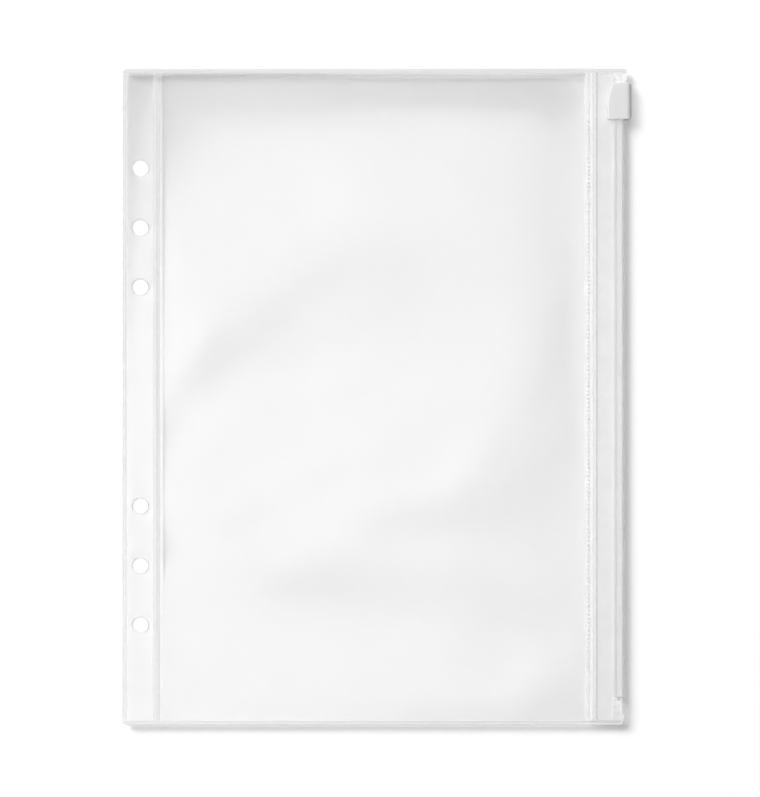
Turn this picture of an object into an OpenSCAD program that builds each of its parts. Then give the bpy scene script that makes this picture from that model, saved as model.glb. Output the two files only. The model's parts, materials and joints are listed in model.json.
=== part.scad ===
// Clear film pocket for a six-ring A5 binder, closed along its outer edge by a press zip with a slider.
// Two film sheets are welded to each other on three sides and to the two halves of the zip on the fourth.
// X runs across the page from the punched margin to the zip, Y runs up the page and Z is the thickness.
// The origin is under the middle of the pocket, on the table that it lies on.

/* [Film pocket] */
// Height of the pocket, along the line of ring holes
pocket_h = 210; // [180:1:300]
// Width of the punched margin, from the left edge to the spine weld
margin_w = 9.8; // [9.4:0.1:16]
// Width of the panel, from the spine weld to the zip lap
panel_w = 135.8; // [90:0.1:220]
// Thickness of each film sheet
sheet_t = 0.2; // [0.15:0.01:0.3]
// Radius of the four outer corners
corner_r = 1.5; // [0.5:0.1:3]
// How far the front sheet stands above the welds
front_crown = 1.9; // [0.5:0.1:6]
// Width of the slope between a weld and the flat of the panel
shoulder_w = 24; // [12:1:40]

/* [Ring holes] */
// Diameter of a ring hole
hole_d = 4.8; // [3:0.1:6]
// Distance from the left edge to the line of holes
hole_inset = 5.8; // [5:0.1:6.4]
// Distance between neighbouring holes of a group of three
hole_pitch = 19; // [12:0.1:22]
// Distance between the two groups of three
hole_gap = 70; // [40:0.1:80]

/* [Welds] */
// Width of the weld along the left, top and bottom edges
edge_weld_w = 1.5; // [1:0.1:2]
// Width of the weld between the margin and the panel
spine_weld_w = 2.2; // [1:0.1:4]
// Thickness of two sheets welded together
weld_t = 0.3; // [0.25:0.01:0.38]
// Thickness of the end welds where they take in the zip flanges
zip_weld_t = 0.8; // [0.6:0.05:1.2]
// Width of the lap, where a sheet is welded onto a zip flange
lap_w = 4.1; // [3:0.1:6]
// How much the lap is pressed together
lap_press = 0.05; // [0.02:0.01:0.1]

/* [Weld knurl] */
// Width of the knurled line along a lap
knurl_w = 2.4; // [1:0.1:2.6]
// Distance from the panel to the knurled line
knurl_inset = 1.1; // [0.3:0.1:1.3]
// Distance between knurl marks
knurl_pitch = 1; // [0.8:0.1:2]
// Length of a knurl mark along the lap
knurl_mark = 0.5; // [0.3:0.05:0.6]
// Depth of a knurl mark
knurl_depth = 0.1; // [0.05:0.01:0.2]

/* [Zip] */
// Width of the bare flange, from the lap to the rail
flange_w = 5; // [4:0.1:8]
// Thickness of a flange
flange_t = 0.35; // [0.25:0.05:0.5]
// Gap between the two flanges
flange_gap = 0.1; // [0.06:0.02:0.16]
// Width of the rail
rail_w = 3.5; // [3.3:0.1:5]
// Thickness of the two closed rails together
rail_t = 3; // [2.8:0.1:4]
// Radius of the rail's outer edges
rail_r = 0.9; // [0.3:0.1:0.9]
// Distance from the rail's inner edge to the middle of the locking rib
rib_inset = 1; // [0.9:0.05:1.1]
// Width of the rib's neck
rib_neck_w = 0.6; // [0.4:0.05:0.6]
// Width of the rib's barbed head
rib_head_w = 1; // [0.8:0.05:1.1]
// Width of the flat at the rib's tip
rib_tip_w = 0.4; // [0.3:0.05:0.5]
// Depth of the barb below the mid-plane
barb_depth = 0.45; // [0.35:0.05:0.5]
// Length of the barbed head
head_len = 0.5; // [0.35:0.05:0.55]
// Clearance all round the rib in its groove
lock_clearance = 0.06; // [0.03:0.01:0.08]
// Depth of the channel that the slider's finger runs in
channel_depth = 1.5; // [1:0.1:1.6]
// Height of that channel
channel_h = 1; // [0.8:0.1:1.2]

/* [Slider] */
// Length of the slider along the zip
slider_len = 11.5; // [8:0.5:18]
// Thickness of its upper and lower plates
plate_t = 1.1; // [0.8:0.1:2]
// Thickness of its outer wall
wall_t = 2.1; // [1.2:0.1:3]
// Width of the lips that hook behind the rail
lip_w = 1.7; // [1.2:0.1:2.4]
// Running clearance around the rail
slider_clearance = 0.2; // [0.1:0.05:0.3]
// Clearance between the lips and the flanges
lip_clearance = 0.25; // [0.15:0.05:0.3]
// Depth of the separator finger
finger_depth = 1.5; // [0.8:0.1:1.5]
// Thickness of the finger at its leading, upper end
finger_tip_t = 0.3; // [0.2:0.05:0.5]
// Thickness of the finger at its lower end
finger_root_t = 0.6; // [0.3:0.05:0.7]
// How much the upper end narrows on the pocket's side
taper_w = 1.4; // [0.5:0.1:1.6]
// Length of that narrowing
taper_len = 6.5; // [3:0.5:8]
// Radius of its long outer edges
slider_edge_r = 1.6; // [0.5:0.1:1.8]
// Radius of its long edges on the pocket's side
slider_lip_r = 0.2; // [0.1:0.05:0.5]
// Radius of its outer corners, seen from above
slider_corner_r = 1.2; // [0.4:0.1:1.8]
// Distance from the pocket's top edge to the closed slider
slider_inset = 4.9; // [3:0.1:12]

/* [Zip stops] */
// Length of the fused lower rail end, above the bottom weld
low_stop_len = 7.8; // [5:0.1:15]
// How much thinner a fused rail end is than the rail
stop_press = 0.4; // [0.1:0.1:0.8]
// Length in which a fused end is crushed down to the weld's thickness
crush_len = 2.8; // [1:0.1:3]
// How far the upper end is squeezed out past the rail
spread_w = 1.1; // [0.5:0.1:1.3]
// Width of the crimp notch in the lower rail end
notch_w = 1.7; // [0.8:0.1:2]
// Depth of the crimp notch
notch_depth = 1.6; // [0.8:0.1:2]

/* [Hidden] */
$fn = 48;

// Places across the page, from the left edge
spine_x = margin_w + spine_weld_w;
lap_x = spine_x + panel_w;
flange_x = lap_x + lap_w;
rail_x = flange_x + flange_w;
rail_end = rail_x + rail_w;
spread_end = rail_end + spread_w;
slider_x = rail_x - slider_clearance - lip_w;
slider_end = rail_end + slider_clearance + wall_t;

// Places up the page, from the bottom edge
low_y = edge_weld_w;
high_y = pocket_h - edge_weld_w;
slider_top = pocket_h - slider_inset;
slider_low = slider_top - slider_len;
rail_top = slider_top + slider_clearance;
rail_low = low_y + low_stop_len;

// Heights: the zip's mid-plane lies level with the middle of the slider
slider_t = rail_t + 2 * (slider_clearance + plate_t);
mid_z = slider_t / 2;
flange_top = flange_gap / 2 + flange_t;
lap_t = flange_t + sheet_t - lap_press;
back_depth = mid_z - sheet_t;
cavity_h = rail_t + 2 * slider_clearance;
slot_h = 2 * (flange_top + lip_clearance);
fused_t = rail_t - stop_press;

// Steps of the panel's mesh along one shoulder
shoulder_steps = 8;
// How far a cutting tool reaches past a face, and how far a flange runs on into its rail
over = 0.5;
flange_root = 0.3;

film_color = [0.93, 0.94, 0.95, 0.45];
weld_color = [0.88, 0.89, 0.90, 0.70];
zip_color = [0.92, 0.93, 0.94, 0.75];
slider_color = [0.90, 0.91, 0.92];

// Puts a shape that is measured from the left edge, the bottom edge and the mid-plane into the part's frame
module placed() {
    translate([-slider_end / 2, -pocket_h / 2, mid_z])
        children();
}

// Extrudes a section of width and thickness along the height of the pocket
module along_height(low, high) {
    translate([0, high, 0])
        rotate([90, 0, 0])
            linear_extrude(high - low)
                children();
}

// What is cut away to round a corner that points to +X and +Y, whose arc has its centre at the origin
module corner_waste(r) {
    difference() {
        square(r + over);
        circle(r);
    }
}

// Outline of the whole pocket with its rounded corners, as wide as the welds reach
module pocket_outline(width) {
    difference() {
        square([width, pocket_h]);
        for (right = [false, true], top = [false, true])
            translate([right ? width - corner_r : corner_r, top ? pocket_h - corner_r : corner_r])
                mirror([right ? 0 : 1, 0])
                    mirror([0, top ? 0 : 1])
                        corner_waste(corner_r);
    }
}

// A layer of the outline between two places across and two places up the page
module outline_layer(x0, x1, y0, y1, thickness, width = rail_end) {
    linear_extrude(thickness, center = true)
        intersection() {
            pocket_outline(width);
            translate([x0, y0])
                square([x1 - x0, y1 - y0]);
        }
}

// Step from 0 to 1 that is flat at both ends, as film leaves a stiff lap
function ease(t) = t <= 0 ? 0 : t >= 1 ? 1 : t * t * (3 - 2 * t);

// Step from 0 to 1 that starts steep and ends flat, as film springs away from a weld
function spring(t) = t >= 1 ? 1 : 1 - pow(1 - t, 3);

// Places of the mesh lines along a side: close together on both shoulders, one line in the middle
function stations(length) = concat(
    [for (i = [0 : shoulder_steps]) shoulder_w * i / shoulder_steps],
    [length / 2],
    [for (i = [0 : shoulder_steps]) length - shoulder_w + shoulder_w * i / shoulder_steps]
);

// Distance of a sheet from the mid-plane: none at the welds, the flange's height at the lap, the crown between
function sheet_rise(x, y, crown) =
    (crown * spring(x / shoulder_w) * ease((panel_w - x) / shoulder_w)
        + flange_top * ease((x - panel_w + shoulder_w) / shoulder_w))
    * spring(y / shoulder_w) * spring((high_y - low_y - y) / shoulder_w);

// A sheet's panel as a thin pillowed shell, over the mid-plane
module panel_shell(crown) {
    xs = stations(panel_w);
    ys = stations(high_y - low_y);
    columns = len(xs);
    rows = len(ys);
    count = columns * rows;
    inner = [for (y = ys, x = xs) [x, y, sheet_rise(x, y, crown)]];
    outer = [for (p = inner) p + [0, 0, sheet_t]];
    cells = [for (r = [0 : rows - 2], c = [0 : columns - 2]) r * columns + c];
    rim = concat(
        [for (c = [0 : columns - 2]) c],
        [for (r = [0 : rows - 2]) r * columns + columns - 1],
        [for (c = [columns - 1 : -1 : 1]) (rows - 1) * columns + c],
        [for (r = [rows - 1 : -1 : 1]) r * columns]
    );
    faces = concat(
        [for (i = cells, f = [[i, i + 1, i + columns], [i + 1, i + columns + 1, i + columns]]) f],
        [for (i = cells, f = [[i, i + columns, i + 1], [i + 1, i + columns, i + columns + 1]])
            [for (v = f) v + count]],
        [for (k = [0 : len(rim) - 1], a = [rim[k]], b = [rim[(k + 1) % len(rim)]],
              f = [[a, a + count, b], [b, a + count, b + count]]) f]
    );
    translate([spine_x, low_y, 0])
        polyhedron(concat(inner, outer), faces);
}

// A sheet's flat margin with its ring holes, over the mid-plane
module margin_strip() {
    difference() {
        translate([edge_weld_w, low_y, 0])
            cube([margin_w - edge_weld_w, high_y - low_y, sheet_t]);
        for (side = [-1, 1], i = [0 : 2])
            translate([hole_inset, pocket_h / 2 + side * (hole_gap / 2 + i * hole_pitch), -over])
                cylinder(d = hole_d, h = sheet_t + 2 * over);
    }
}

module front_sheet() {
    color(film_color)
        placed() {
            margin_strip();
            panel_shell(front_crown);
        }
}

module back_sheet() {
    color(film_color)
        placed()
            mirror([0, 0, 1]) {
                margin_strip();
                panel_shell(back_depth);
            }
}

// Weld across one end of the pocket, thicker where it takes in the zip flanges
module end_weld(low, high, width) {
    outline_layer(0, width, low, high, weld_t, width);
    outline_layer(lap_x, width, low, high, zip_weld_t, width);
}

module top_weld() {
    color(weld_color)
        placed()
            end_weld(high_y, pocket_h, spread_end);
}

module bottom_weld() {
    color(weld_color)
        placed()
            end_weld(0, low_y, rail_end);
}

module edge_weld() {
    color(weld_color)
        placed()
            outline_layer(0, edge_weld_w, low_y, high_y, weld_t);
}

module spine_weld() {
    color(weld_color)
        placed()
            outline_layer(margin_w, spine_x, low_y, high_y, weld_t);
}

// A row of marks, joined above the face so that it is one outline of length and height
module knurl_row() {
    marks = floor((high_y - low_y) / knurl_pitch) - 1;
    start = low_y + (high_y - low_y - marks * knurl_pitch) / 2;
    polygon(concat(
        [[start, over]],
        [for (i = [0 : marks - 1], p = [[0, 0], [0, -knurl_depth], [knurl_mark, -knurl_depth], [knurl_mark, 0]])
            [start + i * knurl_pitch + p[0], p[1]]],
        [[start + marks * knurl_pitch, 0], [start + marks * knurl_pitch, over]]
    ));
}

// A sheet welded onto its flange, over the mid-plane, with the weld bar's knurl on its outer face
module lap() {
    difference() {
        translate([lap_x, low_y, flange_gap / 2])
            cube([lap_w, high_y - low_y, lap_t]);
        translate([lap_x + knurl_inset, 0, flange_gap / 2 + lap_t])
            rotate([90, 0, 90])
                linear_extrude(knurl_w)
                    knurl_row();
    }
}

module front_lap() {
    color(weld_color)
        placed()
            lap();
}

module back_lap() {
    color(weld_color)
        placed()
            mirror([0, 0, 1])
                lap();
}

// A flange's section over the mid-plane, which may run on into the rail
module flange_section(root) {
    translate([flange_x, flange_gap / 2])
        square([flange_w + root, flange_t]);
}

// One rail's section over the mid-plane: rounded outside, with half of the finger's channel
module rail_section() {
    difference() {
        translate([rail_x, flange_gap / 2])
            square([rail_w, (rail_t - flange_gap) / 2]);
        translate([rail_end - rail_r, rail_t / 2 - rail_r])
            corner_waste(rail_r);
        translate([rail_end - channel_depth, -over])
            square([channel_depth + over, channel_h / 2 + over]);
    }
}

// Section of the barbed rib, which points down, or of its groove when it is grown by a clearance
module rib_section(grow) {
    neck = rib_neck_w / 2 + grow;
    head = rib_head_w / 2 + grow;
    tip = rib_tip_w / 2 + grow;
    top = flange_gap / 2 + over / 2;
    barb = -barb_depth + grow;
    brim = -barb_depth - grow;
    end = -barb_depth - head_len - grow;
    translate([rail_x + rib_inset, 0])
        polygon([[-neck, top], [-neck, barb], [-head, barb], [-head, brim], [-tip, end],
                 [tip, end], [head, brim], [head, barb], [neck, barb], [neck, top]]);
}

module zip_front_half() {
    color(zip_color)
        placed() {
            along_height(low_y, high_y)
                flange_section(0);
            along_height(rail_low, rail_top) {
                flange_section(flange_root);
                rail_section();
                rib_section(0);
            }
        }
}

module zip_back_half() {
    color(zip_color)
        placed() {
            along_height(low_y, high_y)
                mirror([0, 1])
                    flange_section(0);
            along_height(rail_low, rail_top)
                difference() {
                    mirror([0, 1]) {
                        flange_section(flange_root);
                        rail_section();
                    }
                    rib_section(lock_clearance);
                }
        }
}

// What is crushed off both faces of a fused end, from its root to the weld at its end
module crush_waste(root, end) {
    past = end + sign(end - root) * over;
    translate([rail_x - over, 0, 0])
        rotate([90, 0, 90])
            linear_extrude(rail_w + spread_w + 2 * over)
                for (up = [0, 1])
                    mirror([0, up])
                        polygon([[root, fused_t / 2], [end, zip_weld_t / 2], [past, zip_weld_t / 2],
                                 [past, rail_t], [root, rail_t]]);
}

// The fused end of both rails: one block, pressed a little thinner, which closes the finger's channel
module fused_rail(low, high, width) {
    along_height(low, high)
        difference() {
            translate([rail_x, -fused_t / 2])
                square([width, fused_t]);
            for (up = [0, 1])
                mirror([0, up])
                    translate([rail_x + width - rail_r, fused_t / 2 - rail_r])
                        corner_waste(rail_r);
        }
}

module zip_top_stop() {
    color(zip_color)
        placed()
            difference() {
                fused_rail(rail_top, high_y, rail_w + spread_w);
                crush_waste(high_y - crush_len, high_y);
            }
}

module zip_bottom_stop() {
    middle = rail_x + rail_w / 2;
    color(zip_color)
        placed()
            difference() {
                fused_rail(low_y, rail_low, rail_w);
                crush_waste(low_y + crush_len, low_y);
                linear_extrude(rail_t, center = true)
                    polygon([[middle - notch_w / 2, rail_low + over], [middle - notch_w / 2, rail_low],
                             [middle, rail_low - notch_depth], [middle + notch_w / 2, rail_low],
                             [middle + notch_w / 2, rail_low + over]]);
            }
}

// The slider's section: a C that holds the rails, with lips behind them on both sides of the flanges
module slider_section() {
    difference() {
        translate([slider_x, -slider_t / 2])
            square([slider_end - slider_x, slider_t]);
        translate([rail_x - slider_clearance, -cavity_h / 2])
            square([rail_w + 2 * slider_clearance, cavity_h]);
        translate([slider_x - over, -slot_h / 2])
            square([lip_w + 2 * over, slot_h]);
        for (up = [0, 1])
            mirror([0, up]) {
                translate([slider_end - slider_edge_r, slider_t / 2 - slider_edge_r])
                    corner_waste(slider_edge_r);
                translate([slider_x + slider_lip_r, slider_t / 2 - slider_lip_r])
                    mirror([1, 0])
                        corner_waste(slider_lip_r);
            }
    }
}

// Seen from above: the narrowed upper end and the rounded outer corners, which are cut away
module slider_waste() {
    polygon([[slider_x - over, slider_top + over], [slider_x + taper_w, slider_top + over],
             [slider_x + taper_w, slider_top], [slider_x, slider_top - taper_len],
             [slider_x - over, slider_top - taper_len]]);
    translate([slider_end - slider_corner_r, slider_top - slider_corner_r])
        corner_waste(slider_corner_r);
    translate([slider_end - slider_corner_r, slider_low + slider_corner_r])
        mirror([0, 1])
            corner_waste(slider_corner_r);
}

// A wedge that runs in the rails' channel and spreads them when the slider is drawn down
module separator_finger() {
    root = rail_end + slider_clearance;
    translate([root - finger_depth, 0, 0])
        rotate([90, 0, 90])
            linear_extrude(finger_depth + wall_t / 2)
                polygon([[slider_low, -finger_root_t / 2], [slider_top, -finger_tip_t / 2],
                         [slider_top, finger_tip_t / 2], [slider_low, finger_root_t / 2]]);
}

module slider() {
    color(slider_color)
        placed() {
            difference() {
                along_height(slider_low, slider_top)
                    slider_section();
                linear_extrude(slider_t + 2 * over, center = true)
                    slider_waste();
            }
            separator_finger();
        }
}

front_sheet();
back_sheet();
top_weld();
bottom_weld();
edge_weld();
spine_weld();
front_lap();
back_lap();
zip_front_half();
zip_back_half();
zip_top_stop();
zip_bottom_stop();
slider();
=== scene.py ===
"""Looks of a clear zippered binder pocket: film, welds, press zip and slider, dressed around its frame."""

import json
import logging
import math
from dataclasses import dataclass, field
from enum import Enum
from typing import Any, Mapping, Sequence

import bmesh
import bpy
import numpy as np
from bpy.types import Material, Node, NodeSocket, NodeTree, Object
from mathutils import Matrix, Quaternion, Vector


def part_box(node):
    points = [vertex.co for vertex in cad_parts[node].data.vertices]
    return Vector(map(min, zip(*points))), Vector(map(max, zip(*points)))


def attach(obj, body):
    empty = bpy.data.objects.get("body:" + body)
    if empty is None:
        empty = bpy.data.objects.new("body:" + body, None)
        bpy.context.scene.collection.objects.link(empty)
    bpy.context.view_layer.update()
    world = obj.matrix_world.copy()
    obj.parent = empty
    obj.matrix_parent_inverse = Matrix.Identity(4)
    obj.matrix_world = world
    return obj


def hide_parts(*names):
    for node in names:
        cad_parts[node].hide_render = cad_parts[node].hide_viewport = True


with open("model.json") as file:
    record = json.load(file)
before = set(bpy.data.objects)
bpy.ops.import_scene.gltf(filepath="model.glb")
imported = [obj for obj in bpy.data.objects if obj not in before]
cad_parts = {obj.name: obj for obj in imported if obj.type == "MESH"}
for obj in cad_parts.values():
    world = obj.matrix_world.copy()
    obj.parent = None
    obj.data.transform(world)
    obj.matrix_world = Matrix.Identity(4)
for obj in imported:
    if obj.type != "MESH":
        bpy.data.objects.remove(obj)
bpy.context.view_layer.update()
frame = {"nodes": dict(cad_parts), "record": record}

LOG = logging.getLogger("binder_pocket")
POCKET_BODY = "pocket"
MM = 0.001
SAME_PLACE = 0.0005 * MM  # Points closer than this are one point.
JOIN_GRID = 0.001 * MM  # Points are rounded to this before repeats among them are joined.
X, Y, Z = 0, 1, 2

Colour = tuple[float, float, float, float]
Faces = list[list[int]]
Geometry = tuple[np.ndarray, Faces]
Pairs = Sequence[tuple[float, float]]

WHITE = "#FFFFFF"
CLOUD_NOISE: Mapping[str, float] = {"Detail": 3.0, "Roughness": 0.55}  # Clouds with finer ones in them.
GRAIN_NOISE: Mapping[str, float] = {"Detail": 2.0}  # Even grain with a little variety.
DIMPLE_NOISE: Mapping[str, float] = {"Detail": 1.0}  # Dimples that are all alike.


class Side(Enum):
    """Which face of the pocket a piece belongs to, as piece and node names say it."""

    FRONT = "front"
    BACK = "back"


def linear(hex_colour: str) -> Colour:
    """Turns an sRGB hex colour into the linear colour that shaders take.

    Args:
        hex_colour: Six hex digits after a hash sign.

    Returns:
        Linear red, green and blue, and an alpha of 1.
    """
    channels = [int(hex_colour[i:i + 2], 16) / 255 for i in (1, 3, 5)]
    red, green, blue = [
        c / 12.92 if c <= 0.04045 else ((c + 0.055) / 1.055) ** 2.4 for c in channels
    ]
    return red, green, blue, 1.0


def add_node(
    tree: NodeTree,
    kind: str,
    inputs: Mapping[str | int, Any] | None = None,
    **settings: Any,
) -> Node:
    """Adds a shader node with its settings, input values and links.

    Args:
        tree: The tree that gets the node.
        kind: The node's Blender type, without the ShaderNode in front.
        inputs: For each input's name or number, a plain value, an output socket that is linked, or a
            node whose first output is linked.
        **settings: The node's own properties.

    Returns:
        The new node.
    """
    node = tree.nodes.new(f"ShaderNode{kind}")
    for name, value in settings.items():
        setattr(node, name, value)
    for key, value in (inputs or {}).items():
        if isinstance(value, Node):
            value = value.outputs[0]
        if isinstance(value, NodeSocket):
            tree.links.new(value, node.inputs[key])
        else:
            node.inputs[key].default_value = value
    return node


def empty_material(name: str) -> Material:
    """Makes a node material with nothing in its tree.

    Args:
        name: The material's name.

    Returns:
        The empty material.
    """
    material = bpy.data.materials.new(name)
    material.use_nodes = True
    material.node_tree.nodes.clear()
    return material


def per_metre(size_mm: float) -> float:
    """The noise scale whose features are about this many millimetres across."""
    return 1 / (size_mm * MM)


def lets_lamps_by(tree: NodeTree, skin: Node, share: float) -> Node:
    """Lets a share of the lamps' light by a face, as translucent plastic does, so that its shadow is pale.

    Args:
        tree: The material's tree.
        skin: The face's shader.
        share: How much of the lamps' light goes by.

    Returns:
        The shader with that share let by.
    """
    path = add_node(tree, "LightPath")
    passed = add_node(tree, "Math", {0: path.outputs["Is Shadow Ray"], 1: share}, operation="MULTIPLY")
    through = add_node(tree, "BsdfTransparent")
    return add_node(tree, "MixShader", {0: passed, 1: skin, 2: through})


def span(node: str, axis: int) -> tuple[float, float]:
    """The lowest and highest coordinate of a frame node along one axis."""
    low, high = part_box(node)
    return low[axis], high[axis]


@dataclass(frozen=True)
class ClearVinyl:
    """Plasticised PVC that shows what is behind it through a faint milky haze, under a soft sheen.

    Attributes:
        name: The material's name.
        tint: What one face leaves of the light that passes it.
        milk: Colour of the haze in the plastic.
        haze: Least and most share of the light that one face scatters.
        roughness: Blur of the sheen.
        sheen: Share of the light that one face mirrors head on.
        grazing: Power with which that share grows towards grazing views.
        ior: Of PVC.
        lamp_pass: Share of the lamps' light that goes by the face unhindered on its way to what is behind.
        cloud_mm: Size of the patches in which the haze comes and goes.
        cloud_spread: Values of the cloud noise that give the least and the most haze.
        grain_mm: Spacing of the fine relief across, along and through the piece.
        grain_depth_mm: Depth of that relief.
    """

    name: str
    tint: str
    milk: str
    haze: tuple[float, float]
    roughness: float
    sheen: float = 0.055
    grazing: float = 5.0
    ior: float = 1.54
    lamp_pass: float = 0.35
    cloud_mm: float = 9.0
    cloud_spread: tuple[float, float] = (0.35, 0.65)
    grain_mm: tuple[float, float, float] = (0.7, 0.7, 0.7)
    grain_depth_mm: float = 0.004

    def build(self) -> Material:
        """Makes the material.

        Returns:
            A mix of clear, milky and glossy shares, in which the gloss grows towards grazing views.
        """
        material = empty_material(self.name)
        tree = material.node_tree
        place = add_node(tree, "TexCoord").outputs["Object"]
        clouds = add_node(
            tree, "TexNoise", {"Vector": place, "Scale": per_metre(self.cloud_mm), **CLOUD_NOISE}
        )
        haze = add_node(
            tree, "MapRange",
            {"Value": clouds.outputs["Fac"],
             "From Min": self.cloud_spread[0], "From Max": self.cloud_spread[1],
             "To Min": self.haze[0], "To Max": self.haze[1]},
        )
        stretched = add_node(
            tree, "Mapping", {"Vector": place, "Scale": [per_metre(size) for size in self.grain_mm]}
        )
        grain = add_node(tree, "TexNoise", {"Vector": stretched, "Scale": 1.0, **GRAIN_NOISE})
        relief = add_node(
            tree, "Bump",
            {"Height": grain.outputs["Fac"], "Strength": 1.0, "Distance": self.grain_depth_mm * MM},
        )
        facing = add_node(tree, "LayerWeight", {"Blend": 0.5})
        grazing = add_node(
            tree, "Math", {0: facing.outputs["Facing"], 1: self.grazing}, operation="POWER"
        )
        mirrored = add_node(
            tree, "Math", {0: grazing, 1: 1 - self.sheen, 2: self.sheen}, operation="MULTIPLY_ADD"
        )
        clear = add_node(tree, "BsdfTransparent", {"Color": linear(self.tint)})
        milky = add_node(
            tree, "BsdfPrincipled",
            {"Base Color": linear(self.milk), "Roughness": self.roughness, "IOR": self.ior, "Normal": relief},
        )
        gloss = add_node(
            tree, "BsdfAnisotropic",
            {"Color": linear(WHITE), "Roughness": self.roughness, "Normal": relief},
        )
        hazy = add_node(tree, "MixShader", {0: haze.outputs["Result"], 1: clear, 2: milky})
        skin = add_node(tree, "MixShader", {0: mirrored, 1: hazy, 2: gloss})
        add_node(tree, "OutputMaterial", {"Surface": lets_lamps_by(tree, skin, self.lamp_pass)})
        return material


@dataclass(frozen=True)
class MouldedPolypropylene:
    """Natural polypropylene as it comes out of a spark-eroded mould: milky, waxy and finely dimpled.

    Attributes:
        name: The material's name.
        milk: Colour of the plastic where light falls on it.
        shade: Colour in the cloudy patches where the melt cooled more slowly.
        roughness: Blur of its sheen.
        ior: Of polypropylene.
        scatter: Share of the light that goes in and comes out again close by.
        scatter_mm: How far from where it went in.
        lamp_pass: Share of the lamps' light that shines through each of its faces.
        cloud_mm: Size of those patches.
        dimple_mm: Spacing of the mould's texture.
        dimple_depth_mm: Depth of that texture.
    """

    name: str = "moulded_polypropylene"
    milk: str = "#E4E4E4"
    shade: str = "#DFDFDF"
    roughness: float = 0.42
    ior: float = 1.49
    scatter: float = 0.5
    scatter_mm: float = 1.5
    lamp_pass: float = 0.75
    cloud_mm: float = 3.0
    dimple_mm: float = 0.35
    dimple_depth_mm: float = 0.008

    def build(self) -> Material:
        """Makes the material.

        Returns:
            A waxy plastic, a little translucent, with faint clouds and mould texture.
        """
        material = empty_material(self.name)
        tree = material.node_tree
        place = add_node(tree, "TexCoord").outputs["Object"]
        clouds = add_node(
            tree, "TexNoise", {"Vector": place, "Scale": per_metre(self.cloud_mm), **GRAIN_NOISE}
        )
        tone = add_node(
            tree, "Mix",
            {0: clouds.outputs["Fac"], 6: linear(self.shade), 7: linear(self.milk)}, data_type="RGBA",
        )
        dimples = add_node(
            tree, "TexNoise", {"Vector": place, "Scale": per_metre(self.dimple_mm), **DIMPLE_NOISE}
        )
        relief = add_node(
            tree, "Bump",
            {"Height": dimples.outputs["Fac"], "Strength": 1.0, "Distance": self.dimple_depth_mm * MM},
        )
        plastic = add_node(
            tree, "BsdfPrincipled",
            {"Base Color": tone.outputs[2], "Roughness": self.roughness, "IOR": self.ior,
             "Subsurface Weight": self.scatter, "Subsurface Radius": (1.0, 1.0, 1.0),
             "Subsurface Scale": self.scatter_mm * MM, "Normal": relief},
        )
        add_node(tree, "OutputMaterial", {"Surface": lets_lamps_by(tree, plastic, self.lamp_pass)})
        return material


@dataclass(frozen=True)
class FusedJoint:
    """The inside of a weld, where two pieces have become one and no surface is left to see.

    Attributes:
        name: The material's name.
    """

    name: str = "fused_vinyl_joint"

    def build(self) -> Material:
        """Makes the material.

        Returns:
            A material that lets everything through.
        """
        material = empty_material(self.name)
        inside = add_node(material.node_tree, "BsdfTransparent", {"Color": linear(WHITE)})
        add_node(material.node_tree, "OutputMaterial", {"Surface": inside})
        return material


@dataclass(frozen=True)
class WhiteCard:
    """Matt white card of the table: it takes the shadow, and glows a little so that it reads as white.

    Attributes:
        name: The material's name.
        white: Colour of the card.
        glow: Share of white that the card shows by itself, also in gloss and through clear film.
    """

    name: str = "white_card"
    white: str = "#EEEEEE"
    glow: float = 0.225

    def build(self) -> Material:
        """Makes the material.

        Returns:
            A diffuse white that the camera sees as pure white where nothing shades it.
        """
        material = empty_material(self.name)
        tree = material.node_tree
        path = add_node(tree, "LightPath")
        seen = add_node(
            tree, "Math", {0: path.outputs["Is Camera Ray"], 1: path.outputs["Is Glossy Ray"]},
            operation="ADD",
        )
        seen_through = add_node(
            tree, "Math", {0: seen, 1: path.outputs["Is Transmission Ray"]}, operation="ADD", use_clamp=True
        )
        strength = add_node(tree, "Math", {0: seen_through, 1: self.glow}, operation="MULTIPLY")
        card = add_node(tree, "BsdfDiffuse", {"Color": linear(self.white)})
        glow = add_node(tree, "Emission", {"Color": linear(WHITE), "Strength": strength})
        both = add_node(tree, "AddShader", {0: card, 1: glow})
        add_node(tree, "OutputMaterial", {"Surface": both})
        return material


# Calendered film has an almost even gloss, with faint clouds where the rolls pressed it unevenly.
# Its grey tint is partly the film's own loss of light and partly painted shade: it darkens the table seen
# through it in place of the film's shadow, which lamp_pass lets by.
CALENDERED_FILM = ClearVinyl(
    name="calendered_vinyl_film", tint="#F4F4F4", milk="#F4F4F4", haze=(0.028, 0.034), roughness=0.14,
    sheen=0.05, lamp_pass=0.75, cloud_mm=28.0, grain_mm=(1.6, 2.2, 1.6), grain_depth_mm=0.0012,
)
# A hot bar leaves the weld a little milkier and glossier, with fine marks across it.
BAR_WELD = ClearVinyl(
    name="bar_welded_vinyl", tint="#EAEAEA", milk="#EEEEEE", haze=(0.17, 0.2), roughness=0.2,
    lamp_pass=0.6, cloud_mm=30.0, grain_depth_mm=0.006,
)
# The wheel that welds the laps barely clouds them.
WHEEL_WELD = ClearVinyl(
    name="wheel_welded_vinyl", tint="#F6F6F6", milk="#F6F6F6", haze=(0.22, 0.26), roughness=0.18
)
# Along the wheel's narrow rim the vinyl is made white and hazy, a painted highlight for the bright line along
# the seam.
RIM_HIGHLIGHT_WELD = ClearVinyl(
    name="wheel_bruised_vinyl", tint="#F6F6F6", milk=WHITE, haze=(0.5, 0.56), roughness=0.3
)
# Each tooth beside the rim crushes a small pit into the weld. The pits' faces are greyed as painted shade, so
# that they read dark.
# The real teeth are 1 mm apart, too close to show in the render, so LapSeam draws them coarser.
TOOTH_PIT_SHADE_WELD = ClearVinyl(
    name="tooth_bitten_vinyl", tint="#F3F3F3", milk="#EAEAEA", haze=(0.28, 0.31), roughness=0.24, sheen=0.05
)
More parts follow.
